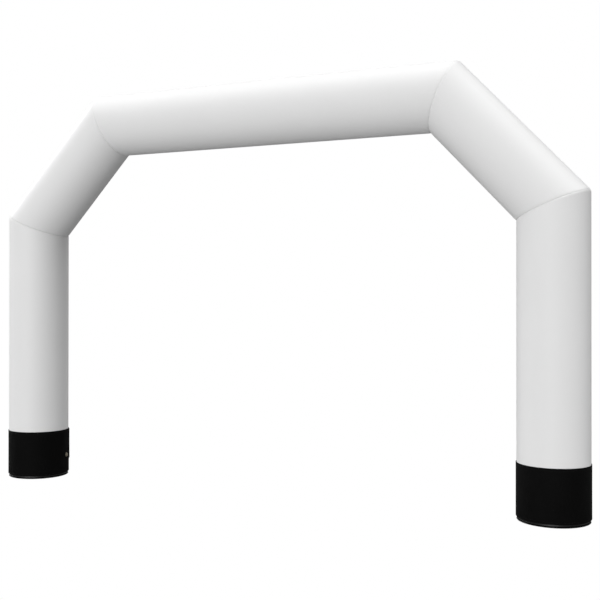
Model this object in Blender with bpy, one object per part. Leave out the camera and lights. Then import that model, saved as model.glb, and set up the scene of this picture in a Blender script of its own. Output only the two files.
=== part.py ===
"""Inflatable entrance arch: five white cloth tubes joined at mitred seams, on two black feet.

Metres, +Z up. The origin is on the ground, midway between the feet. X runs along the span,
from the left foot to the right one, and people pass through the arch along Y.
"""

import math

import bmesh
import bpy
from mathutils import Matrix, Vector

# The inflated outline
SPAN = 6.0  # from the outside of one leg to the outside of the other
HEIGHT = 3.983  # from the ground to the top of the crossbeam
TUBE_RADIUS = 0.3075
KNEE_HEIGHT = 2.672  # where a leg's axis meets its shoulder's axis
BEAM_LENGTH = 3.515  # along the crossbeam's axis, from one shoulder's axis to the other

# Cloth thickness, and the gap that stands for a stitched joint between two pieces
PANEL_CLOTH = 0.002
CUFF_CLOTH = 0.0025
BASE_CLOTH = 0.003
SEAM_GAP = 0.0003

# The black cuff round each leg's foot, a sleeve with a turned hem at its top and its bottom
CUFF_BOTTOM = 0.030
CUFF_TOP = 0.489
CUFF_RADIUS = 0.3135
CUFF_HEM = 0.022
LEG_FOOT = CUFF_BOTTOM + 0.003  # the white cloth ends just inside the cuff

# The base under each leg: a shallow pan whose edge is a thin lip under a narrow groove
BASE_FLAT_RADIUS = 0.2975
LIP_RADIUS = 0.3065
LIP_HEIGHT = 0.0035
LIP_STEPS = 3
LIP_TOP_RADIUS = 0.3045
LIP_TOP = 0.0065
GROOVE_RADIUS = 0.289
GROOVE_BOTTOM = 0.0115
TUCK_BOTTOM = 0.044
TUCK_TOP = 0.074  # the pan's wall ends here, tucked up inside the leg

# The inflation valve on the left leg, on the side towards the passage, and its cover flap
VALVE_AZIMUTH = 13
VALVE_HEIGHT = 0.216
VALVE_FLANGE_RADIUS = 0.0225
VALVE_CAP_RADIUS = 0.0185
VALVE_FLANGE_PROUD = 0.0105
VALVE_PROUD = 0.018
VALVE_EDGE = 0.0015
VALVE_ROOT = 0.010  # the valve starts this far inside the tube's wall, and is trimmed to it
FLAP_AZIMUTHS = (25, 60)
FLAP_BOTTOM = 0.168
FLAP_TOP = 0.480
FLAP_THICKNESS = 0.006
FLAP_CORNER = 0.018

SIDES = 72  # flats round a tube, so that a flat spans 5 degrees
VALVE_SIDES = 36

LEG_X = SPAN / 2 - TUBE_RADIUS
BEAM_Z = HEIGHT - TUBE_RADIUS
BEAM_X = BEAM_LENGTH / 2
UP = Vector((0, 0, 1))
THROUGH = Vector((0, 1, 0))


def clear_scene():
    for found in list(bpy.data.objects):
        bpy.data.objects.remove(found)


def finish(name, colour, roughness):
    material = bpy.data.materials.new(name)
    material.use_nodes = True
    shader = material.node_tree.nodes["Principled BSDF"]
    shader.inputs["Base Color"].default_value = (*colour, 1)
    shader.inputs["Roughness"].default_value = roughness
    shader.inputs["Metallic"].default_value = 0
    return material


def closed_body(name, build):
    """An object from a bmesh, its faces turned outwards."""
    build.normal_update()
    bmesh.ops.recalc_face_normals(build, faces=build.faces)
    mesh = bpy.data.meshes.new(name)
    build.to_mesh(mesh)
    build.free()
    made = bpy.data.objects.new(name, mesh)
    bpy.context.scene.collection.objects.link(made)
    return made


def piece(name, build, colour, roughness):
    """A node with its own finish, shaded smooth except over its sharp edges."""
    made = closed_body(name, build)
    made.data.shade_smooth()
    made.data.set_sharp_from_angle(angle=math.radians(30))
    made.data.materials.append(finish(name + "_finish", colour, roughness))
    return made


def cut_away(target, build):
    """Cuts a closed shape out of a node. The cutter stays, hidden, as a guide."""
    cutter = closed_body(target.name + "_cutter", build)
    cutter.hide_render = True
    cutter.display_type = "WIRE"
    modifier = target.modifiers.new("cut", "BOOLEAN")
    modifier.operation = "DIFFERENCE"
    modifier.object = cutter


def along(direction):
    """A frame whose Z runs along a tube and whose Y runs through the arch, so that the flats of
    two tubes that meet at a mitre have their edges at the same points of it."""
    side = THROUGH.cross(direction)
    return Matrix((side, THROUGH, direction)).transposed().to_4x4()


def tube_panel(name, start, end, start_plane, end_plane, colour, roughness):
    """A cloth tube between two points of the arch's axis, cut by the plane of its seam at each end.
    Both planes' normals point the way the tube runs."""
    direction = (end - start).normalized()
    placement = Matrix.Translation((start + end) / 2) @ along(direction)
    build = bmesh.new()
    for radius in (TUBE_RADIUS - PANEL_CLOTH, TUBE_RADIUS):
        bmesh.ops.reverse_faces(build, faces=build.faces)  # the inner wall, made first, faces inwards
        bmesh.ops.create_cone(
            build,
            cap_ends=False,
            segments=SIDES,
            radius1=radius,
            radius2=radius,
            depth=(end - start).length + 4 * TUBE_RADIUS,
            matrix=placement,
        )
    for point, outwards in ((start, -start_plane), (end, end_plane)):
        cut = point - outwards * SEAM_GAP / 2
        bmesh.ops.bisect_plane(
            build,
            geom=[*build.verts, *build.edges, *build.faces],
            plane_co=cut,
            plane_no=outwards,
            clear_outer=True,
        )
        rim = [e for e in build.edges if e.is_boundary and lies_on(e, cut, outwards)]
        bmesh.ops.bridge_loops(build, edges=rim)
    return piece(name, build, colour, roughness)


def lies_on(edge, point, normal):
    return all(abs((vert.co - point).dot(normal)) < SEAM_GAP for vert in edge.verts)


def turned(profile, sides, placement):
    """A profile of (radius, height) points turned about the Z axis of a placement. It is closed
    by its last point, or by the axis where it starts and ends there."""
    build = bmesh.new()
    ring = [build.verts.new((radius, 0, height)) for radius, height in profile]
    edges = [build.edges.new(pair) for pair in zip(ring, ring[1:])]
    if profile[0][0] > 0:
        edges.append(build.edges.new((ring[-1], ring[0])))
    bmesh.ops.spin(
        build,
        geom=[*ring, *edges],
        cent=(0, 0, 0),
        axis=UP,
        angle=2 * math.pi,
        steps=sides,
    )
    bmesh.ops.remove_doubles(build, verts=build.verts, dist=1e-6)
    bmesh.ops.dissolve_degenerate(build, edges=build.edges, dist=1e-6)
    build.transform(placement)
    return build


def cuff(name, x, colour, roughness):
    """A sleeve of thin cloth whose two hems are turned in, thick enough to reach the leg."""
    body = CUFF_RADIUS - CUFF_CLOTH
    hem = TUBE_RADIUS + SEAM_GAP
    profile = [
        (CUFF_RADIUS, CUFF_BOTTOM),
        (CUFF_RADIUS, CUFF_TOP),
        (hem, CUFF_TOP),
        (hem, CUFF_TOP - CUFF_HEM),
        (body, CUFF_TOP - CUFF_HEM),
        (body, CUFF_BOTTOM + CUFF_HEM),
        (hem, CUFF_BOTTOM + CUFF_HEM),
        (hem, CUFF_BOTTOM),
    ]
    build = turned(profile, SIDES, Matrix.Translation((x, 0, 0)))
    return piece(name, build, colour, roughness)


def base(name, x, colour, roughness):
    """The pan that closes a leg: flat on the ground, a thin lip, a groove, a tucked-in wall."""
    wall = TUBE_RADIUS - PANEL_CLOTH - SEAM_GAP
    outside = [
        (
            BASE_FLAT_RADIUS + (LIP_RADIUS - BASE_FLAT_RADIUS) * math.sin(turn),
            LIP_HEIGHT * (1 - math.cos(turn)),
        )
        for turn in (math.pi / 2 * i / LIP_STEPS for i in range(LIP_STEPS + 1))
    ]
    outside += [
        (LIP_TOP_RADIUS, LIP_TOP),
        (GROOVE_RADIUS, GROOVE_BOTTOM),
        (GROOVE_RADIUS, CUFF_BOTTOM),
        (wall, TUCK_BOTTOM),
        (wall, TUCK_TOP),
    ]
    inside = [
        (wall - BASE_CLOTH, TUCK_TOP),
        (wall - BASE_CLOTH, TUCK_BOTTOM),
        (GROOVE_RADIUS - BASE_CLOTH, CUFF_BOTTOM),
        (GROOVE_RADIUS - BASE_CLOTH, GROOVE_BOTTOM),
        (BASE_FLAT_RADIUS, BASE_CLOTH),
    ]
    profile = [(0, 0), *outside, *inside, (0, BASE_CLOTH)]
    build = turned(profile, SIDES, Matrix.Translation((x, 0, 0)))
    return piece(name, build, colour, roughness)


def on_left_leg(azimuth, height):
    """A frame on the left leg's axis whose Z points out of the leg at an azimuth."""
    turn = Matrix.Rotation(math.radians(azimuth), 4, "Z") @ Matrix.Rotation(math.pi / 2, 4, "Y")
    return Matrix.Translation((-LEG_X, 0, height)) @ turn


def leg_shape(radius):
    """A closed faceted cylinder about the left leg's axis, wide enough to trim what sits on it."""
    build = bmesh.new()
    bmesh.ops.create_cone(
        build,
        cap_ends=True,
        segments=SIDES,
        radius1=radius,
        radius2=radius,
        depth=1,
        matrix=Matrix.Translation((-LEG_X, 0, VALVE_HEIGHT)),
    )
    return build


def valve(colour, roughness):
    """A round flange with a domed cap, seated on the leg through a hole in the cuff."""
    outer = TUBE_RADIUS + VALVE_PROUD
    flange = TUBE_RADIUS + VALVE_FLANGE_PROUD
    inner = TUBE_RADIUS - VALVE_ROOT
    profile = [
        (0, inner),
        (VALVE_FLANGE_RADIUS, inner),
        (VALVE_FLANGE_RADIUS, flange - VALVE_EDGE),
        (VALVE_FLANGE_RADIUS - VALVE_EDGE, flange),
        (VALVE_CAP_RADIUS, flange),
        (VALVE_CAP_RADIUS, outer - 2 * VALVE_EDGE),
        (VALVE_CAP_RADIUS - 2 * VALVE_EDGE, outer),
        (0, outer),
    ]
    build = turned(profile, VALVE_SIDES, on_left_leg(VALVE_AZIMUTH, VALVE_HEIGHT))
    made = piece("valve", build, colour, roughness)
    cut_away(made, leg_shape(TUBE_RADIUS + SEAM_GAP))
    return made


def valve_hole():
    """What the cuff leaves out round the valve."""
    radius = VALVE_FLANGE_RADIUS + SEAM_GAP
    start = TUBE_RADIUS - VALVE_ROOT
    end = 2 * CUFF_RADIUS - start
    profile = [(0, start), (radius, start), (radius, end), (0, end)]
    return turned(profile, VALVE_SIDES, on_left_leg(VALVE_AZIMUTH, VALVE_HEIGHT))


def valve_flap(colour, roughness):
    """The doubled cloth flap that hangs from the cuff's top, beside the valve."""
    inner = CUFF_RADIUS + SEAM_GAP
    low, high = (math.radians(azimuth) for azimuth in FLAP_AZIMUTHS)
    steps = round((high - low) / math.radians(360 / SIDES))
    build = bmesh.new()
    corners = [
        (inner, FLAP_BOTTOM),
        (inner + FLAP_THICKNESS, FLAP_BOTTOM),
        (inner + FLAP_THICKNESS, FLAP_TOP),
        (inner, FLAP_TOP),
    ]
    rings = []
    for i in range(steps + 1):
        turn = low + (high - low) * i / steps
        rings.append(
            [build.verts.new((r * math.cos(turn), r * math.sin(turn), z)) for r, z in corners]
        )
    for near, far in zip(rings, rings[1:]):
        for i in range(4):
            j = (i + 1) % 4
            build.faces.new((near[i], near[j], far[j], far[i]))
    for end in (rings[0], rings[-1]):
        build.faces.new(end)
    lower = [build.edges.get(ring[:2]) for ring in (rings[0], rings[-1])]
    bmesh.ops.bevel(
        build, geom=lower, offset=FLAP_CORNER, segments=3, affect="EDGES", profile=0.5
    )
    build.transform(Matrix.Translation((-LEG_X, 0, 0)))
    return piece("valve_flap", build, colour, roughness)


def main():
    clear_scene()
    white = ((0.80, 0.80, 0.79), 0.45)
    black = ((0.012, 0.012, 0.012), 0.6)
    beige = ((0.42, 0.39, 0.31), 0.4)

    beam_ends = []
    for side, sign in (("left", -1), ("right", 1)):
        foot = Vector((sign * LEG_X, 0, LEG_FOOT))
        knee = Vector((sign * LEG_X, 0, KNEE_HEIGHT))
        shoulder = Vector((sign * BEAM_X, 0, BEAM_Z))
        rising = (shoulder - knee).normalized()
        inwards = Vector((-sign, 0, 0))
        knee_plane = (UP + rising).normalized()
        shoulder_plane = (rising + inwards).normalized()
        tube_panel("leg_" + side, foot, knee, UP, knee_plane, *white)
        tube_panel("shoulder_" + side, knee, shoulder, knee_plane, shoulder_plane, *white)
        beam_ends.append((shoulder, shoulder_plane))
        base("base_" + side, foot.x, *black)
        sleeve = cuff("cuff_" + side, foot.x, *black)
        if side == "left":
            cut_away(sleeve, valve_hole())
    (start, start_plane), (end, end_plane) = beam_ends
    tube_panel("crossbeam", start, end, start_plane, -end_plane, *white)
    valve(*beige)
    valve_flap(*black)


main()
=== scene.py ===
import math
import random

import bmesh
import bpy
from mathutils import Matrix, Vector


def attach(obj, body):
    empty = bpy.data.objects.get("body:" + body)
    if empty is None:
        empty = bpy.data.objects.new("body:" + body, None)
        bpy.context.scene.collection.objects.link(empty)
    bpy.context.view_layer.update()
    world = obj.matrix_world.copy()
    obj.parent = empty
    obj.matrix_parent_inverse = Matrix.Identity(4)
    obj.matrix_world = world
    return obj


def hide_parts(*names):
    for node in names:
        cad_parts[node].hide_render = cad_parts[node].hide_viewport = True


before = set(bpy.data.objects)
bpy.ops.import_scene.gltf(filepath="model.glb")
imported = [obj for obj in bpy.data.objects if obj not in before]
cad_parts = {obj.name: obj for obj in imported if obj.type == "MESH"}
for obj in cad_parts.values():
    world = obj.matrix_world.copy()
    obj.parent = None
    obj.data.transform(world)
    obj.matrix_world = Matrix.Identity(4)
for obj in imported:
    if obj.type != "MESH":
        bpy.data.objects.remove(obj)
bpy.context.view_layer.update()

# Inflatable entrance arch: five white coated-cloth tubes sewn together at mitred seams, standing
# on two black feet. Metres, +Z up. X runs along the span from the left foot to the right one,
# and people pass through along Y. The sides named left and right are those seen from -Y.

# The tubes' outline
TUBE_RADIUS = 0.3075
LEG_X = 2.6925
LEG_FOOT = 0.033
KNEE_Z = 2.672
BEAM_X = 1.7575
BEAM_Z = 3.6755
PANEL_CLOTH = 0.002
SEAM_GAP = 0.0003
PANEL_SIDES = 288  # flats round a tube, 6.7 mm each, so that none shows on its outline

# A seam draws the cloth in to a crease, and gathers it in faint puckers beside that
CREASE_DEPTH = 0.0045
CREASE_REACH = 0.018
CREASE_STEPS = (0.0015, 0.003, 0.005, 0.0075, 0.0105, 0.014, 0.018)
PUCKER_STEPS = (0.026, 0.036, 0.05, 0.068, 0.09, 0.12)
PUCKER_WAVES = ((47, 1), (71, 0.7), (29, 0.6), (103, 0.4))  # their count round a tube, and size
PUCKER_HEIGHT = 0.0003
PUCKER_EDGE = 0.001  # nearer its seam than this, the cloth is held
PUCKER_RISE = 0.012
PUCKER_FADE = 0.030
PUCKER_END = 0.14
CLOSING_DIP = 0.0012  # the lengthwise seam that closes each tube, on the arch's back

# Stitching
STITCH_PITCH = 0.0065
STITCH_LENGTH = 0.0046
STITCH_SIDES = 6
STITCH_END = 0.4  # a stitch's thickness where it goes into the cloth, of its middle's
THREAD_RADIUS = 0.0006
THREAD_LIFT = 0.0001  # from a flat cloth to the middle of a thread on it, which is half sunk
SEAM_ROW = 0.009  # from a seam to the row of stitches beside it
CLOSING_ROW = 0.007
CLOSING_TRIM = 0.02  # where the lengthwise row stops short of a mitred seam

# The black cuffs
CUFF_BOTTOM = 0.030
CUFF_TOP = 0.489
CUFF_RADIUS = 0.3135
CUFF_CLOTH = 0.0025
CUFF_HEM = 0.022
HEM_FOLD = 0.0035  # from the hem's raw edge to the row of stitches that holds it
CUFF_SIDES = 216
CUFF_RIPPLE = 0.0005
CUFF_WAVES = (7, 11, 17)
CUFF_TWIST = 9  # the most that a ripple turns on its way up, in radians
HEM_DIP = 0.0006  # how far the hem's row of stitches draws it in
HEM_THREAD = 0.0004  # how deep the threads lie in that dip
TOP_ROW = 0.006  # from the cuff's top fold to the row of stitches beside it

# The bases
BASE_CLOTH = 0.003
BASE_FLAT_RADIUS = 0.2975
LIP_RADIUS = 0.3065
LIP_HEIGHT = 0.0035
LIP_STEPS = 8
GROOVE_RADIUS = 0.289
TUCK_RADIUS = TUBE_RADIUS - PANEL_CLOTH - SEAM_GAP
BASE_SIDES = 216
BASE_POLE = 0.010  # the small disc in the middle, where its rings end

# The valve and its flap, on the left leg
VALVE_AZIMUTH = 13
VALVE_Z = 0.216
FLANGE_RADIUS = 0.0225
CAP_RADIUS = 0.0185
FLANGE_PROUD = 0.0105
CAP_PROUD = 0.018
VALVE_ROOT = 0.010
VALVE_SIDES = 96
VALVE_POLE = 0.004
VALVE_MOAT = 0.0008  # the narrow sunk ring between the flange and its cap
GRIPS = 18
GRIP_DEPTH = 0.0011
FLAP_AZIMUTHS = (25, 60)
FLAP_HALF_TURN = math.radians(FLAP_AZIMUTHS[1] - FLAP_AZIMUTHS[0]) / 2
FLAP_BOTTOM = 0.168
FLAP_TOP = 0.480
FLAP_CLOTH = 0.0045
FLAP_CORNER = 0.018
FLAP_CORNER_STEPS = 8
FLAP_LIFT = 0.0012  # how far the flap's lower edge stands off the cuff
FLAP_ROWS = (0.006, 0.014)  # the rows of stitches, in from its edge
FLAP_COLUMNS, FLAP_BANDS = 24, 30

# The camera: its place, then its tilt, roll and turn from level and straight ahead, in radians
CAMERA_PLACE = (3.6722, -7.9429, 1.8352)
CAMERA_TILT, CAMERA_ROLL, CAMERA_TURN = 0.0041, -0.0007, 0.3954
CAMERA_LENS = 54.385

# The studio's lamps: azimuth (0 in front of the arch, 90 to its right), elevation and spread in
# degrees, and strength
LAMPS = {
    "top_softbox": (0, 88, 40, 0.277),
    "left_softbox": (-105, 30, 30, 0.373),
    "left_front_softbox": (-25, 30, 30, 0.132),
    "front_softbox": (0, 0, 30, 0.480),
    "right_softbox": (95, 55, 30, 0.198),
    "right_back_softbox": (125, 65, 30, 0.248),
    "left_underlight": (-80, -18, 30, 0.109),
}
SOFT_LIGHT = 0.300
FLOOR_GREY = 0.22
FLOOR_RADIUS = 60

UP = Vector((0, 0, 1))
THROUGH = Vector((0, 1, 0))

# How near a point counts as on a ring, as on the lengthwise seam, and as the same point
ON_RING = 2e-5
ON_LINE = 1e-4
SAME_POINT = 1e-6


# ---- Materials ----


def linear(hex_colour):
    """An sRGB hex colour as linear RGBA."""
    parts = [int(hex_colour[i : i + 2], 16) / 255 for i in (1, 3, 5)]
    return [p / 12.92 if p <= 0.04045 else ((p + 0.055) / 1.055) ** 2.4 for p in parts] + [1]


def add(material, kind, inputs=None, **settings):
    """Adds a shader node with its settings. An input is a value, or another node's output."""
    made = material.node_tree.nodes.new("ShaderNode" + kind)
    for name, value in settings.items():
        setattr(made, name, value)
    for socket, value in (inputs or {}).items():
        if isinstance(value, bpy.types.NodeSocket):
            material.node_tree.links.new(value, made.inputs[socket])
        else:
            made.inputs[socket].default_value = value
    return made


def new_material(name):
    material = bpy.data.materials.new(name)
    material.use_nodes = True
    material.node_tree.nodes.clear()
    return material


def weave_height(material, spacing):
    """The height of a plain weave: a crown wherever a thread passes over the one that crosses it.
    The pieces' UV maps are in metres, across and along the cloth."""
    place = add(material, "TexCoord")
    turns = math.pi / spacing
    scaled = add(material, "Mapping", {"Vector": place.outputs["UV"], "Scale": (turns, turns, 1)})
    split = add(material, "SeparateXYZ", {"Vector": scaled.outputs["Vector"]})
    across = add(material, "Math", {0: split.outputs["X"]}, operation="SINE")
    lengthwise = add(material, "Math", {0: split.outputs["Y"]}, operation="SINE")
    return add(
        material, "Math", {0: across.outputs[0], 1: lengthwise.outputs[0]}, operation="MULTIPLY"
    )


def coated_white_cloth():
    """Polyester cloth with a white PVC coating, calendered: a smooth satin face through which the
    weave only just prints. Its threads are about 1.1 mm apart, drawn at 3 mm so that they show.
    The coating has a faint orange peel of about 17 mm, and its white drifts over about 0.9 m."""
    material = new_material("pvc_coated_polyester_white")
    place = add(material, "TexCoord")
    weave = weave_height(material, 0.003)
    drift = add(
        material,
        "TexNoise",
        {"Vector": place.outputs["Object"], "Scale": 1.1, "Detail": 3, "Roughness": 0.5},
    )
    colour = add(
        material,
        "Mix",
        {"Factor": drift.outputs["Fac"], "A": linear("#e6e6e6"), "B": linear("#ebebeb")},
        data_type="RGBA",
    )
    gloss = add(
        material,
        "MapRange",
        {"Value": drift.outputs["Fac"], "To Min": 0.46, "To Max": 0.54},
    )
    orange_peel = add(
        material,
        "TexNoise",
        {"Vector": place.outputs["Object"], "Scale": 60, "Detail": 2},
    )
    coating = add(
        material,
        "Bump",
        {"Height": orange_peel.outputs["Fac"], "Strength": 0.05, "Distance": 0.0006},
    )
    threads = add(
        material,
        "Bump",
        {
            "Height": weave.outputs[0],
            "Strength": 0.12,
            "Distance": 0.0004,
            "Normal": coating.outputs["Normal"],
        },
    )
    shader = add(
        material,
        "BsdfPrincipled",
        {
            "Base Color": colour.outputs["Result"],
            "Roughness": gloss.outputs["Result"],
            "IOR": 1.5,
            "Specular IOR Level": 0.15,
            "Normal": threads.outputs["Normal"],
        },
    )
    add(material, "OutputMaterial", {"Surface": shader.outputs["BSDF"]})
    return material


def heavy_black_cloth():
    """Heavy woven polyester, dyed black: matt, and rubbed a little paler in patches. Its threads
    are about 1.5 mm apart, drawn at 4 mm so that they show."""
    material = new_material("heavy_woven_polyester_black")
    place = add(material, "TexCoord")
    weave = weave_height(material, 0.004)
    wear = add(
        material,
        "TexNoise",
        {"Vector": place.outputs["Object"], "Scale": 4, "Detail": 5, "Roughness": 0.6},
    )
    worn = add(
        material,
        "MapRange",
        {"Value": wear.outputs["Fac"], "From Min": 0.35, "From Max": 0.75},
    )
    colour = add(
        material,
        "Mix",
        {"Factor": worn.outputs["Result"], "A": linear("#050505"), "B": linear("#090909")},
        data_type="RGBA",
    )
    threads = add(
        material,
        "Bump",
        {"Height": weave.outputs[0], "Strength": 0.5, "Distance": 0.0006},
    )
    shader = add(
        material,
        "BsdfPrincipled",
        {
            "Base Color": colour.outputs["Result"],
            "Roughness": 0.75,
            "IOR": 1.5,
            "Specular IOR Level": 0.06,
            "Normal": threads.outputs["Normal"],
        },
    )
    add(material, "OutputMaterial", {"Surface": shader.outputs["BSDF"]})
    return material


def black_ground_cloth():
    """Heavy PVC-coated ground cloth, black, with an embossed grain about 2.5 mm across: its satin
    coating catches the light along the rounded lip."""
    material = new_material("pvc_ground_cloth_black")
    place = add(material, "TexCoord")
    grain = add(
        material,
        "TexVoronoi",
        {"Vector": place.outputs["Object"], "Scale": 400},
    )
    dust = add(
        material,
        "TexNoise",
        {"Vector": place.outputs["Object"], "Scale": 9, "Detail": 6},
    )
    colour = add(
        material,
        "Mix",
        {"Factor": dust.outputs["Fac"], "A": linear("#0a0a0a"), "B": linear("#141414")},
        data_type="RGBA",
    )
    embossed = add(
        material,
        "Bump",
        {"Height": grain.outputs["Distance"], "Strength": 0.3, "Distance": 0.0005},
    )
    shader = add(
        material,
        "BsdfPrincipled",
        {
            "Base Color": colour.outputs["Result"],
            "Roughness": 0.42,
            "IOR": 1.5,
            "Specular IOR Level": 0.4,
            "Normal": embossed.outputs["Normal"],
        },
    )
    add(material, "OutputMaterial", {"Surface": shader.outputs["BSDF"]})
    return material


def sewing_thread(name, colour_a, colour_b):
    """Bonded polyester thread: twisted plies, about 1.4 mm from turn to turn, with a slight
    sheen."""
    material = new_material(name)
    place = add(material, "TexCoord")
    plies = add(
        material,
        "TexNoise",
        {"Vector": place.outputs["Object"], "Scale": 700, "Detail": 1},
    )
    colour = add(
        material,
        "Mix",
        {"Factor": plies.outputs["Fac"], "A": linear(colour_a), "B": linear(colour_b)},
        data_type="RGBA",
    )
    twist = add(
        material, "Bump", {"Height": plies.outputs["Fac"], "Strength": 0.4, "Distance": 0.0002}
    )
    shader = add(
        material,
        "BsdfPrincipled",
        {
            "Base Color": colour.outputs["Result"],
            "Roughness": 0.5,
            "Specular IOR Level": 0.3,
            "Normal": twist.outputs["Normal"],
        },
    )
    add(material, "OutputMaterial", {"Surface": shader.outputs["BSDF"]})
    return material


def moulded_beige_plastic():
    """Injection-moulded ABS, warm grey, with a spark-eroded grain that softens its shine. The
    grain is about 0.3 mm, drawn at 1.1 mm so that it shows."""
    material = new_material("moulded_abs_beige")
    place = add(material, "TexCoord")
    grain = add(
        material, "TexNoise", {"Vector": place.outputs["Object"], "Scale": 900, "Detail": 2}
    )
    flow = add(
        material, "TexNoise", {"Vector": place.outputs["Object"], "Scale": 25, "Detail": 2}
    )
    colour = add(
        material,
        "Mix",
        {"Factor": flow.outputs["Fac"], "A": linear("#766f5f"), "B": linear("#7f7869")},
        data_type="RGBA",
    )
    eroded = add(
        material, "Bump", {"Height": grain.outputs["Fac"], "Strength": 0.15, "Distance": 0.0002}
    )
    shader = add(
        material,
        "BsdfPrincipled",
        {
            "Base Color": colour.outputs["Result"],
            "Roughness": 0.45,
            "IOR": 1.54,
            "Normal": eroded.outputs["Normal"],
        },
    )
    add(material, "OutputMaterial", {"Surface": shader.outputs["BSDF"]})
    return material


# ---- Modelling helpers ----


def only(piece):
    """Leaves just this piece selected and active, in object mode."""
    if bpy.context.mode != "OBJECT":
        bpy.ops.object.mode_set(mode="OBJECT")
    bpy.ops.object.select_all(action="DESELECT")
    piece.select_set(True)
    bpy.context.view_layer.objects.active = piece


def apply_place(piece):
    only(piece)
    bpy.ops.object.transform_apply(location=True, rotation=True, scale=True)


def edit(piece, select="VERT"):
    only(piece)
    bpy.ops.object.mode_set(mode="EDIT")
    bpy.ops.mesh.select_mode(type=select)
    bpy.ops.mesh.select_all(action="DESELECT")


def pick(piece, wanted):
    """In edit mode, selects the points that pass a test of their place."""
    build = bmesh.from_edit_mesh(piece.data)
    for vert in build.verts:
        vert.select = wanted(vert.co)
    build.select_flush_mode()
    build.select_flush(True)
    bmesh.update_edit_mesh(piece.data)


def pick_faces(piece, wanted):
    """In edit mode, selects the faces that pass a test of their middle and normal."""
    bpy.ops.mesh.select_mode(type="FACE")
    build = bmesh.from_edit_mesh(piece.data)
    for face in build.faces:
        face.select_set(wanted(face.calc_center_median(), face.normal))
    bmesh.update_edit_mesh(piece.data)


def apply_modifier(piece, kind, **settings):
    only(piece)
    modifier = piece.modifiers.new(kind.lower(), kind)
    for name, value in settings.items():
        setattr(modifier, name, value)
    bpy.ops.object.modifier_apply(modifier=modifier.name)


def face_outwards(piece):
    edit(piece)
    bpy.ops.mesh.select_all(action="SELECT")
    bpy.ops.mesh.remove_doubles(threshold=SAME_POINT)
    bpy.ops.mesh.normals_make_consistent(inside=False)
    only(piece)


def finish(piece, name, material, sharp=35):
    """Names, smooths and paints a piece, and makes it ride on the arch. Its edges stay sharp from
    that many degrees."""
    apply_place(piece)
    piece.name = piece.data.name = name
    bpy.ops.object.shade_smooth_by_angle(angle=math.radians(sharp))
    piece.data.materials.clear()
    piece.data.materials.append(material)
    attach(piece, "root")


def along(direction):
    """A frame whose Z runs along a tube and whose Y runs through the arch."""
    return Matrix((THROUGH.cross(direction), THROUGH, direction)).transposed().to_4x4()


def lay_flat(piece, frame_of_tube, radius):
    """A UV map in metres: across is the way round the tube, along is its length."""
    if not piece.data.uv_layers:
        piece.data.uv_layers.new(name="UVMap")
    places = piece.data.uv_layers[0].data
    back = frame_of_tube.inverted()
    local = [back @ vert.co for vert in piece.data.vertices]
    for face in piece.data.polygons:
        middle = sum((local[v] for v in face.vertices), Vector()) / len(face.vertices)
        centre = math.atan2(middle.y, middle.x)
        for loop in face.loop_indices:
            point = local[piece.data.loops[loop].vertex_index]
            turn = math.remainder(math.atan2(point.y, point.x) - centre, math.tau)
            places[loop].uv = ((centre + turn) * radius, point.z)


def turned(name, profile, sides, x, closing="bridge"):
    """A closed shape about a leg's axis, from a profile of (radius, height) points: a circle,
    extruded and resized from each point to the next, then bridged back to the first, or with a
    small disc at the pole at each end."""
    bpy.ops.object.select_all(action="DESELECT")
    bpy.ops.mesh.primitive_circle_add(
        vertices=sides, radius=profile[0][0], location=(x, 0, profile[0][1])
    )
    ring = bpy.context.object
    ring.name = name
    apply_place(ring)
    edit(ring, "EDGE")
    bpy.ops.mesh.select_all(action="SELECT")
    for (radius, height), (next_radius, next_height) in zip(profile, profile[1:]):
        bpy.ops.mesh.extrude_edges_move(
            TRANSFORM_OT_translate={"value": (0, 0, next_height - height)}
        )
        grow = next_radius / radius
        bpy.ops.transform.resize(value=(grow, grow, 1), center_override=(x, 0, next_height))
    bpy.ops.mesh.select_all(action="SELECT")
    if closing == "bridge":
        bpy.ops.mesh.region_to_loop()
        bpy.ops.mesh.bridge_edge_loops()
    else:
        bpy.ops.mesh.fill_holes(sides=0)
    face_outwards(ring)
    return ring


# ---- The tubes ----


def crease(distance):
    """How far a tube's cloth is drawn in at a distance from its seam."""
    return CREASE_DEPTH * max(0, 1 - distance / CREASE_REACH) ** 2


def ring_centre(knot, outwards, axis, distance):
    """Where the plane at a distance inside a seam meets the tube's axis."""
    return knot - outwards * distance - (axis - outwards * axis.dot(outwards)) * (
        distance / axis.dot(outwards)
    )


def draw_in(panel, knot, outwards, axis):
    """Cuts rings beside a seam, and draws them in to its crease."""
    for distance in CREASE_STEPS + PUCKER_STEPS:
        bpy.ops.mesh.select_all(action="SELECT")
        bpy.ops.mesh.bisect(plane_co=knot - outwards * distance, plane_no=outwards)
    for distance in (SEAM_GAP / 2,) + CREASE_STEPS[:-1]:
        on_ring = knot - outwards * distance
        pick(panel, lambda co: abs((co - on_ring).dot(outwards)) < ON_RING)
        shrink = 1 - crease(distance) / TUBE_RADIUS
        bpy.ops.transform.resize(
            value=(shrink, shrink, shrink),
            center_override=ring_centre(knot, outwards, axis, distance),
        )


def pucker(panel, seams, placement, seed):
    """Gathers the cloth beside its seams in faint ripples that run across them."""
    chance = random.Random(seed)
    waves = [(count, chance.random() * math.tau, size) for count, size in PUCKER_WAVES]
    back = placement.inverted()
    for vert in panel.data.vertices:
        local = back @ vert.co
        turn = math.atan2(local.y, local.x)
        out = (placement.to_3x3() @ Vector((local.x, local.y, 0))).normalized()
        for knot, outwards in seams:
            distance = (knot - vert.co).dot(outwards)
            if not PUCKER_EDGE <= distance <= PUCKER_END:
                continue
            ripple = sum(size * math.sin(count * turn + start) for count, start, size in waves)
            fade = min(1, distance / PUCKER_RISE) * math.exp(-distance / PUCKER_FADE)
            vert.co += out * (PUCKER_HEIGHT * ripple * fade)


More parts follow.
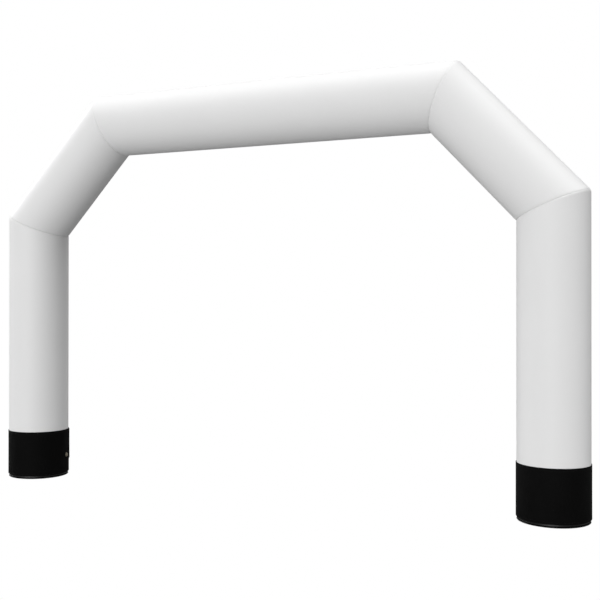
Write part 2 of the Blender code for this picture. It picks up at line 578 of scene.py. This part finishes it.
def tube_panel(name, start, end, start_plane, end_plane, seams, cloth, seed):
    """A tube of cloth, cut at the plane of its seam at each end. Both planes' normals point the
    way that the tube runs, and seams tells which ends are sewn to another tube."""
    axis = (end - start).normalized()
    placement = along(axis)
    placement.translation = (start + end) / 2
    bpy.ops.object.select_all(action="DESELECT")
    bpy.ops.mesh.primitive_cylinder_add(
        vertices=PANEL_SIDES,
        radius=TUBE_RADIUS,
        depth=(end - start).length + 4 * TUBE_RADIUS,
        end_fill_type="NOTHING",
        location=placement.translation,
        rotation=placement.to_euler(),
    )
    panel = bpy.context.object
    apply_place(panel)
    edit(panel)
    sewn = []
    for knot, outwards, is_seam in ((start, -start_plane, seams[0]), (end, end_plane, seams[1])):
        bpy.ops.mesh.select_all(action="SELECT")
        bpy.ops.mesh.bisect(
            plane_co=knot - outwards * SEAM_GAP / 2, plane_no=outwards, clear_outer=True
        )
        if is_seam:
            draw_in(panel, knot, outwards, axis if outwards.dot(axis) > 0 else -axis)
            sewn.append((knot, outwards))
    only(panel)
    for vert in panel.data.vertices:
        local = placement.inverted() @ vert.co
        if local.y > 0 and abs(local.x) < ON_LINE:
            vert.co -= THROUGH * CLOSING_DIP
    pucker(panel, sewn, placement, seed)
    lay_flat(panel, placement, TUBE_RADIUS)
    apply_modifier(panel, "SOLIDIFY", thickness=PANEL_CLOTH, offset=-1)
    finish(panel, name + "_cloth", cloth)
    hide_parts(name)
    return panel


# ---- Stitching ----


def one_stitch(pitch):
    """A stitch along X: a short thread, thinner where it goes into the cloth at each end."""
    bpy.ops.object.select_all(action="DESELECT")
    bpy.ops.mesh.primitive_cylinder_add(
        vertices=STITCH_SIDES,
        radius=THREAD_RADIUS,
        depth=STITCH_LENGTH / 2,
        location=(pitch / 2, 0, 0),
        rotation=(0, math.pi / 2, 0),
    )
    stitch = bpy.context.object
    apply_place(stitch)
    edit(stitch)
    pick_faces(stitch, lambda middle, normal: abs(normal.x) > 0.9)
    bpy.ops.mesh.extrude_faces_move(TRANSFORM_OT_shrink_fatten={"value": STITCH_LENGTH / 4})
    bpy.ops.transform.resize(
        value=(1, STITCH_END, STITCH_END), center_override=(pitch / 2, 0, 0)
    )
    only(stitch)
    return stitch


def row_of_stitches(length):
    count = round(length / STITCH_PITCH)
    pitch = length / count
    row = one_stitch(pitch)
    apply_modifier(
        row,
        "ARRAY",
        count=count,
        use_relative_offset=False,
        use_constant_offset=True,
        constant_offset_displace=(pitch, 0, 0),
    )
    return row


def stitched_ellipse(centre, normal, half_across, half_through):
    """A row of stitches on an ellipse whose plane has that normal."""
    bpy.ops.object.select_all(action="DESELECT")
    bpy.ops.curve.primitive_bezier_circle_add(
        radius=1, location=centre, rotation=along(normal).to_euler()
    )
    path = bpy.context.object
    path.data.resolution_u = 64
    path.scale = (half_across, half_through, 1)
    apply_place(path)
    steps = 2000
    points = [
        Vector((half_across * math.cos(t), half_through * math.sin(t)))
        for t in (math.tau * i / steps for i in range(steps + 1))
    ]
    length = sum((b - a).length for a, b in zip(points, points[1:]))
    row = row_of_stitches(length)
    apply_modifier(row, "CURVE", object=path)
    bpy.data.objects.remove(path)
    return row


def stitches_beside_seam(knot, outwards, axis):
    """The row on a tube's own side of a mitred seam."""
    radius = TUBE_RADIUS - crease(SEAM_ROW)
    centre = ring_centre(knot, outwards, axis, SEAM_ROW)
    return stitched_ellipse(centre, outwards, radius / axis.dot(outwards), radius)


def stitches_along_back(start, end, axis, trims):
    """The row beside the lengthwise seam, from one end's trim to the other's."""
    turn = CLOSING_ROW / TUBE_RADIUS
    side = along(axis).to_3x3() @ Vector((math.sin(turn), math.cos(turn), 0)) * TUBE_RADIUS
    first, last = start + axis * trims[0], end - axis * trims[1]
    row = row_of_stitches((last - first).length)
    turned_along = axis.to_track_quat("X", "Z").to_matrix().to_4x4()
    row.matrix_world = Matrix.Translation(first + side) @ turned_along
    apply_place(row)
    return row


def join(pieces):
    bpy.ops.object.select_all(action="DESELECT")
    for piece in pieces:
        piece.select_set(True)
    bpy.context.view_layer.objects.active = pieces[0]
    bpy.ops.object.join()
    return pieces[0]


def sewn_panel(name, start, end, start_plane, end_plane, seams, cloth, thread, seed):
    """A tube panel with the rows of stitches on its own side of its seams."""
    panel = tube_panel(name, start, end, start_plane, end_plane, seams, cloth, seed)
    axis = (end - start).normalized()
    rows = []
    if seams[0]:
        rows.append(stitches_beside_seam(start, -start_plane, -axis))
    if seams[1]:
        rows.append(stitches_beside_seam(end, end_plane, axis))
    trims = [CLOSING_TRIM if sewn else CUFF_TOP - LEG_FOOT for sewn in seams]
    rows.append(stitches_along_back(start, end, axis, trims))
    stitching = join(rows)
    finish(stitching, name + "_stitching", thread)


# ---- The feet ----


def cuff_profile():
    """The cuff's cloth from its bottom fold up to its top fold outside, and back down inside. Each
    half is given from its fold: the radius, and the distance from the fold."""
    body, hem = CUFF_RADIUS - CUFF_CLOTH, TUBE_RADIUS + SEAM_GAP
    outside = [
        (hem + 0.0022, 0),
        (CUFF_RADIUS - 0.0014, 0.0005),
        (CUFF_RADIUS - 0.0003, 0.0020),
        (CUFF_RADIUS, 0.0045),
        (CUFF_RADIUS, 0.0150),
        (CUFF_RADIUS - HEM_DIP, CUFF_HEM - HEM_FOLD),
        (CUFF_RADIUS, CUFF_HEM),
        (CUFF_RADIUS, 0.040),
        (CUFF_RADIUS, 0.10),
        (CUFF_RADIUS, 0.18),
    ]
    inside = [
        (body, CUFF_HEM + 0.0005),
        (hem, CUFF_HEM),
        (hem, 0.0030),
        (hem + 0.0006, 0.0008),
    ]
    return (
        [(radius, CUFF_BOTTOM + height) for radius, height in outside]
        + [(radius, CUFF_TOP - drop) for radius, drop in reversed(outside)]
        + [(radius, CUFF_TOP - drop) for radius, drop in reversed(inside)]
        + [(radius, CUFF_BOTTOM + height) for radius, height in inside]
    )


def ripple_cuff(cuff, x, seed):
    """Loosens the cuff's cloth a little between its hems, in soft upright ripples."""
    chance = random.Random(seed)
    waves = [(n, chance.random() * math.tau, chance.random() * CUFF_TWIST) for n in CUFF_WAVES]
    for vert in cuff.data.vertices:
        height = (vert.co.z - CUFF_BOTTOM - CUFF_HEM) / (CUFF_TOP - CUFF_BOTTOM - 2 * CUFF_HEM)
        if not 0 < height < 1:
            continue
        out = Vector((vert.co.x - x, vert.co.y, 0))
        turn = math.atan2(out.y, out.x)
        sway = sum(math.sin(n * turn + a + b * height) for n, a, b in waves) / len(waves)
        vert.co -= out.normalized() * CUFF_RIPPLE * math.sin(math.pi * height) * (1 + sway) / 2


def cuff(side, x, cloth, thread, seed):
    sleeve = turned("cuff_" + side, cuff_profile(), CUFF_SIDES, x)
    ripple_cuff(sleeve, x, seed)
    lay_flat(sleeve, Matrix.Translation((x, 0, 0)), CUFF_RADIUS)
    if side == "left":
        cut_valve_hole(sleeve)
    finish(sleeve, "cuff_" + side + "_cloth", cloth)
    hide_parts("cuff_" + side)
    fold = CUFF_HEM - HEM_FOLD
    dip = CUFF_RADIUS - HEM_THREAD
    heights = (CUFF_TOP - fold, CUFF_TOP - TOP_ROW, CUFF_BOTTOM + fold)
    radii = (dip, CUFF_RADIUS + THREAD_LIFT, dip)
    rows = [
        stitched_ellipse(Vector((x, 0, z)), UP, radius, radius)
        for z, radius in zip(heights, radii)
    ]
    stitching = join(rows)
    finish(stitching, "cuff_" + side + "_stitching", thread)


def base(side, x, cloth):
    """The pan that closes a leg: flat on the ground, its edge folded back on itself as a thin
    lip, then a groove, and a wall tucked up inside the leg."""
    lip = LIP_RADIUS - BASE_FLAT_RADIUS
    bottom = [
        (BASE_FLAT_RADIUS + lip * math.sin(turn), LIP_HEIGHT * (1 - math.cos(turn)))
        for turn in (math.pi / 2 * i / LIP_STEPS for i in range(LIP_STEPS + 1))
    ]
    outside = bottom + [
        (0.3064, 0.0045),
        (0.3058, 0.0056),
        (0.3045, 0.0065),
        (0.3005, 0.0078),
        (0.2960, 0.0092),
        (0.2920, 0.0106),
        (0.2900, 0.0122),
        (GROOVE_RADIUS, 0.0150),
        (GROOVE_RADIUS, 0.0270),
        (0.2900, 0.0302),
        (0.2940, 0.0343),
        (0.2990, 0.0390),
        (0.3030, 0.0425),
        (TUCK_RADIUS, 0.0455),
        (TUCK_RADIUS, 0.0740),
    ]
    inside = [
        (TUCK_RADIUS - BASE_CLOTH, 0.0740),
        (TUCK_RADIUS - BASE_CLOTH, 0.0465),
        (0.2998, 0.0440),
        (0.2960, 0.0407),
        (0.2912, 0.0358),
        (0.2870, 0.0312),
        (GROOVE_RADIUS - BASE_CLOTH, 0.0280),
        (GROOVE_RADIUS - BASE_CLOTH, 0.0150),
        (0.2875, 0.0105),
        (0.2915, 0.0078),
        (0.2965, 0.0061),
        (0.3005, 0.0048),
        (0.3022, 0.0039),
        (0.3005, 0.0032),
        (0.2965, BASE_CLOTH),
        (BASE_POLE, BASE_CLOTH),
    ]
    profile = [(BASE_POLE, 0)] + outside + inside
    pan = turned("base_" + side, profile, BASE_SIDES, x, "poles")
    lay_flat(pan, Matrix.Translation((x, 0, 0)), LIP_RADIUS)
    finish(pan, "base_" + side + "_cloth", cloth)
    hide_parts("base_" + side)


# ---- The valve and its flap ----


def out_of_leg(azimuth, height):
    """A frame on the left leg's axis whose Z points out of the leg at an azimuth."""
    turn = Matrix.Rotation(math.radians(azimuth), 4, "Z") @ Matrix.Rotation(math.pi / 2, 4, "Y")
    return Matrix.Translation((-LEG_X, 0, height)) @ turn


def cut_valve_hole(sleeve):
    placement = out_of_leg(VALVE_AZIMUTH, VALVE_Z)
    bpy.ops.object.select_all(action="DESELECT")
    bpy.ops.mesh.primitive_cylinder_add(
        vertices=72,
        radius=FLANGE_RADIUS + SEAM_GAP,
        depth=0.06,
        location=placement @ Vector((0, 0, TUBE_RADIUS + 0.015)),
        rotation=placement.to_euler(),
    )
    punch = bpy.context.object
    apply_modifier(sleeve, "BOOLEAN", operation="DIFFERENCE", object=punch, solver="EXACT")
    bpy.data.objects.remove(punch)


def valve(plastic):
    """A round flange with a ribbed, domed screw cap, moulded in one colour."""
    placement = out_of_leg(VALVE_AZIMUTH, VALVE_Z)
    flange = TUBE_RADIUS + FLANGE_PROUD
    root = TUBE_RADIUS - VALVE_ROOT
    moat = flange - VALVE_MOAT
    profile = [
        (VALVE_POLE, root),
        (FLANGE_RADIUS, root),
        (FLANGE_RADIUS, flange - 0.0015),
        (FLANGE_RADIUS - 0.0005, flange - 0.0005),
        (FLANGE_RADIUS - 0.0015, flange),
        (CAP_RADIUS + 0.0016, flange),
        (CAP_RADIUS + 0.0008, moat),
        (CAP_RADIUS, moat),
        (VALVE_POLE, moat),
    ]
    collar = turned("valve_flange", profile, VALVE_SIDES, 0, "poles")
    collar.matrix_world = placement
    apply_place(collar)
    bpy.ops.object.select_all(action="DESELECT")
    bpy.ops.mesh.primitive_cylinder_add(
        vertices=PANEL_SIDES, radius=TUBE_RADIUS + SEAM_GAP, depth=1, location=(-LEG_X, 0, VALVE_Z)
    )
    leg = bpy.context.object
    apply_modifier(collar, "BOOLEAN", operation="DIFFERENCE", object=leg, solver="EXACT")
    bpy.data.objects.remove(leg)

    top = TUBE_RADIUS + CAP_PROUD
    cap_profile = [
        (VALVE_POLE, moat),
        (CAP_RADIUS - 0.0012, moat),
        (CAP_RADIUS - 0.0012, moat + 0.0012),
        (CAP_RADIUS - 0.0012, top - 0.0032),
        (CAP_RADIUS - 0.0018, top - 0.0014),
        (CAP_RADIUS - 0.0038, top - 0.0004),
        (CAP_RADIUS - 0.0065, top),
        (CAP_RADIUS - 0.0085, top - 0.0002),
        (CAP_RADIUS - 0.0095, top - 0.0012),
        (CAP_RADIUS - 0.0110, top - 0.0015),
        (VALVE_POLE, top - 0.0015),
    ]
    cap = turned("valve_cap", cap_profile, 4 * GRIPS, 0, "poles")
    edit(cap)
    pick_faces(
        cap,
        lambda middle, normal: moat + 0.0012 < middle.z < top - 0.0030
        and math.hypot(normal.x, normal.y) > 0.9
        and math.cos(GRIPS * math.atan2(middle.y, middle.x)) > 0,
    )
    bpy.ops.mesh.extrude_region_shrink_fatten(TRANSFORM_OT_shrink_fatten={"value": GRIP_DEPTH})
    only(cap)
    cap.matrix_world = placement
    apply_place(cap)
    body = join([collar, cap])
    face_outwards(body)
    apply_modifier(body, "BEVEL", width=0.0003, segments=2, limit_method="ANGLE")
    finish(body, "valve_body", plastic, sharp=40)
    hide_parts("valve")


def flap_outline(inset):
    """Points along the flap's two sides and its bottom, in metres across and up."""
    half = FLAP_HALF_TURN * (CUFF_RADIUS + SEAM_GAP) - inset
    corner, low, high = FLAP_CORNER - inset, FLAP_BOTTOM + inset, FLAP_TOP - inset
    steps = FLAP_COLUMNS
    side = [(-half, high + (low + corner - high) * i / steps) for i in range(steps)]
    curve = [math.pi / 2 * i / FLAP_CORNER_STEPS for i in range(FLAP_CORNER_STEPS + 1)]
    left = side + [
        (-half + corner * (1 - math.cos(t)), low + corner * (1 - math.sin(t))) for t in curve
    ]
    bottom = [((half - corner) * (2 * i / steps - 1), low) for i in range(1, steps)]
    return left + bottom + [(-x, z) for x, z in reversed(left)]


def hang(points):
    """Lays flat flap points (across, out, up) round the cuff, standing off more lower down."""
    middle = math.radians(sum(FLAP_AZIMUTHS) / 2)
    placed = []
    for across, out, height in points:
        drop = (FLAP_TOP - height) / (FLAP_TOP - FLAP_BOTTOM)
        radius = CUFF_RADIUS + SEAM_GAP + out + FLAP_LIFT * drop * drop
        turn = middle + across / CUFF_RADIUS
        placed.append(
            Vector((-LEG_X + radius * math.cos(turn), radius * math.sin(turn), height))
        )
    return placed


def valve_flap(cloth, thread):
    """A doubled flap of cloth that hangs from the cuff's top beside the valve."""
    bpy.ops.object.select_all(action="DESELECT")
    bpy.ops.mesh.primitive_plane_add(size=1)
    flap = bpy.context.object
    half = FLAP_HALF_TURN * CUFF_RADIUS
    flap.rotation_euler = (math.pi / 2, 0, 0)
    flap.location = (0, 0, (FLAP_TOP + FLAP_BOTTOM) / 2)
    flap.scale = (2 * half, FLAP_TOP - FLAP_BOTTOM, 1)
    apply_place(flap)
    edit(flap)
    pick(flap, lambda co: co.z < FLAP_BOTTOM + 0.001)
    bpy.ops.mesh.bevel(offset=FLAP_CORNER, segments=FLAP_CORNER_STEPS, affect="VERTICES")
    for i in range(1, FLAP_COLUMNS):
        bpy.ops.mesh.select_all(action="SELECT")
        x = half * (2 * i / FLAP_COLUMNS - 1)
        bpy.ops.mesh.bisect(plane_co=(x, 0, 0), plane_no=(1, 0, 0))
    for i in range(1, FLAP_BANDS):
        bpy.ops.mesh.select_all(action="SELECT")
        z = FLAP_BOTTOM + (FLAP_TOP - FLAP_BOTTOM) * i / FLAP_BANDS
        bpy.ops.mesh.bisect(plane_co=(0, 0, z), plane_no=(0, 0, 1))
    only(flap)
    for face in flap.data.polygons:
        for loop in face.loop_indices:
            co = flap.data.vertices[flap.data.loops[loop].vertex_index].co
            flap.data.uv_layers[0].data[loop].uv = (co.x, co.z)
    apply_modifier(flap, "SOLIDIFY", thickness=FLAP_CLOTH, offset=-1)
    lowest = min(vert.co.y for vert in flap.data.vertices)
    placed = hang([(v.co.x, v.co.y - lowest, v.co.z) for v in flap.data.vertices])
    for vert, place in zip(flap.data.vertices, placed):
        vert.co = place
    face_outwards(flap)
    apply_modifier(flap, "BEVEL", width=0.0014, segments=3, limit_method="ANGLE", angle_limit=1)
    finish(flap, "valve_flap_cloth", cloth)
    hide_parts("valve_flap")

    rows = []
    for inset in FLAP_ROWS:
        line = hang([(x, FLAP_CLOTH + THREAD_LIFT, z) for x, z in flap_outline(inset)])
        data = bpy.data.meshes.new("flap_row")
        data.from_pydata(line, [(i, i + 1) for i in range(len(line) - 1)], [])
        path = bpy.data.objects.new("flap_row", data)
        bpy.context.scene.collection.objects.link(path)
        only(path)
        bpy.ops.object.convert(target="CURVE")
        path = bpy.context.object
        length = sum((b - a).length for a, b in zip(line, line[1:]))
        row = row_of_stitches(length)
        apply_modifier(row, "CURVE", object=path)
        bpy.data.objects.remove(path)
        rows.append(row)
    stitching = join(rows)
    finish(stitching, "valve_flap_stitching", thread)


# ---- The studio ----


def camera():
    """The viewer stands 8 m back, to the right of the arch's middle, and looks at it from 1.8 m."""
    bpy.ops.object.camera_add(
        location=CAMERA_PLACE, rotation=(math.pi / 2 + CAMERA_TILT, CAMERA_ROLL, CAMERA_TURN)
    )
    view = bpy.context.object
    view.data.lens = CAMERA_LENS
    view.data.sensor_width = 36
    bpy.context.scene.camera = view


def studio_floor():
    """A wide pale floor that the camera sees as bright as the backdrop."""
    bpy.ops.object.select_all(action="DESELECT")
    bpy.ops.mesh.primitive_circle_add(vertices=96, radius=FLOOR_RADIUS, fill_type="NGON")
    floor = bpy.context.object
    floor.name = "studio_floor"
    paint = new_material("studio_floor_paint")
    path = add(paint, "LightPath")
    matt = add(paint, "BsdfDiffuse", {"Color": (FLOOR_GREY, FLOOR_GREY, FLOOR_GREY, 1)})
    bright = add(paint, "Emission", {"Color": (1, 1, 1, 1), "Strength": 1.0})
    seen = add(
        paint,
        "MixShader",
        {"Fac": path.outputs["Is Camera Ray"], 1: matt.outputs[0], 2: bright.outputs[0]},
    )
    add(paint, "OutputMaterial", {"Surface": seen.outputs[0]})
    floor.data.materials.append(paint)
    floor.visible_shadow = False  # a light table, which lamps under it shine through


def sun(name, azimuth, elevation, spread, strength):
    """A large soft lamp far away."""
    a, e = math.radians(azimuth), math.radians(elevation)
    towards = Vector((math.sin(a) * math.cos(e), -math.cos(a) * math.cos(e), math.sin(e)))
    bpy.ops.object.light_add(type="SUN", rotation=towards.to_track_quat("Z", "Y").to_euler())
    lamp = bpy.context.object
    lamp.name = name
    lamp.data.energy = strength * math.pi
    lamp.data.angle = math.radians(spread)


def studio_light():
    scene = bpy.context.scene
    scene.view_settings.view_transform = "Standard"
    world = bpy.data.worlds.new("studio")
    scene.world = world
    world.use_nodes = True
    world.node_tree.nodes.clear()
    path = add(world, "LightPath")
    soft = add(world, "Background", {"Color": (1, 1, 1, 1), "Strength": SOFT_LIGHT})
    white = add(world, "Background", {"Color": (1, 1, 1, 1), "Strength": 1.0})
    seen = add(
        world,
        "MixShader",
        {"Fac": path.outputs["Is Camera Ray"], 1: soft.outputs[0], 2: white.outputs[0]},
    )
    add(world, "OutputWorld", {"Surface": seen.outputs[0]})
    for name, lamp in LAMPS.items():
        sun(name, *lamp)


def main():
    camera()
    white = coated_white_cloth()
    black = heavy_black_cloth()
    ground = black_ground_cloth()
    white_thread = sewing_thread("polyester_thread_white", "#dcdcda", "#f0f0ee")
    black_thread = sewing_thread("polyester_thread_black", "#0b0b0b", "#181818")

    beam_ends = []
    for side, sign in (("left", -1), ("right", 1)):
        foot = Vector((sign * LEG_X, 0, LEG_FOOT))
        knee = Vector((sign * LEG_X, 0, KNEE_Z))
        shoulder = Vector((sign * BEAM_X, 0, BEAM_Z))
        rising = (shoulder - knee).normalized()
        inwards = Vector((-sign, 0, 0))
        knee_plane = (UP + rising).normalized()
        shoulder_plane = (rising + inwards).normalized()
        sewn_panel(
            "leg_" + side, foot, knee, UP, knee_plane,
            (False, True), white, white_thread, seed=11 + sign,
        )
        sewn_panel(
            "shoulder_" + side, knee, shoulder, knee_plane, shoulder_plane,
            (True, True), white, white_thread, seed=21 + sign,
        )
        base(side, foot.x, ground)
        cuff(side, foot.x, black, black_thread, seed=31 + sign)
        beam_ends.append((shoulder, shoulder_plane))
    (start, start_plane), (end, end_plane) = beam_ends
    sewn_panel(
        "crossbeam", start, end, start_plane, -end_plane,
        (True, True), white, white_thread, seed=41,
    )
    valve(moulded_beige_plastic())
    valve_flap(black, black_thread)
    studio_floor()
    studio_light()


main()
